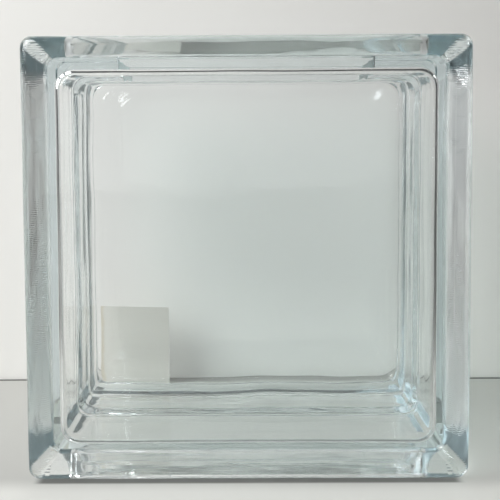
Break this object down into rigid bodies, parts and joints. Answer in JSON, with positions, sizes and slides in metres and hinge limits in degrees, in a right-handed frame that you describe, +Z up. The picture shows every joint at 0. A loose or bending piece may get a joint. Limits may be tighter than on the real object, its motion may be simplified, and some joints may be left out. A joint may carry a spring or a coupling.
{
  "type": "glass block",
  "caption": "Square hollow block of clear pressed glass with a sloping-sided mortar groove round its edges, a slot cut in its top and a blank label on its rear face.",
  "frame": {"origin": "centre of the footprint, on the surface that the block stands on", "axes": "+X along the width, +Y through the depth away from the viewer, +Z up; the slot opens at +Z"},
  "size_m": [0.19, 0.0802, 0.19],
  "materials": {
    "glass": "clear, polished by the press",
    "label_paper": "matt paper"
  },
  "bodies": {
    "root": {"glass_block": "glass", "label": "label_paper"}
  },
  "joints": []
}
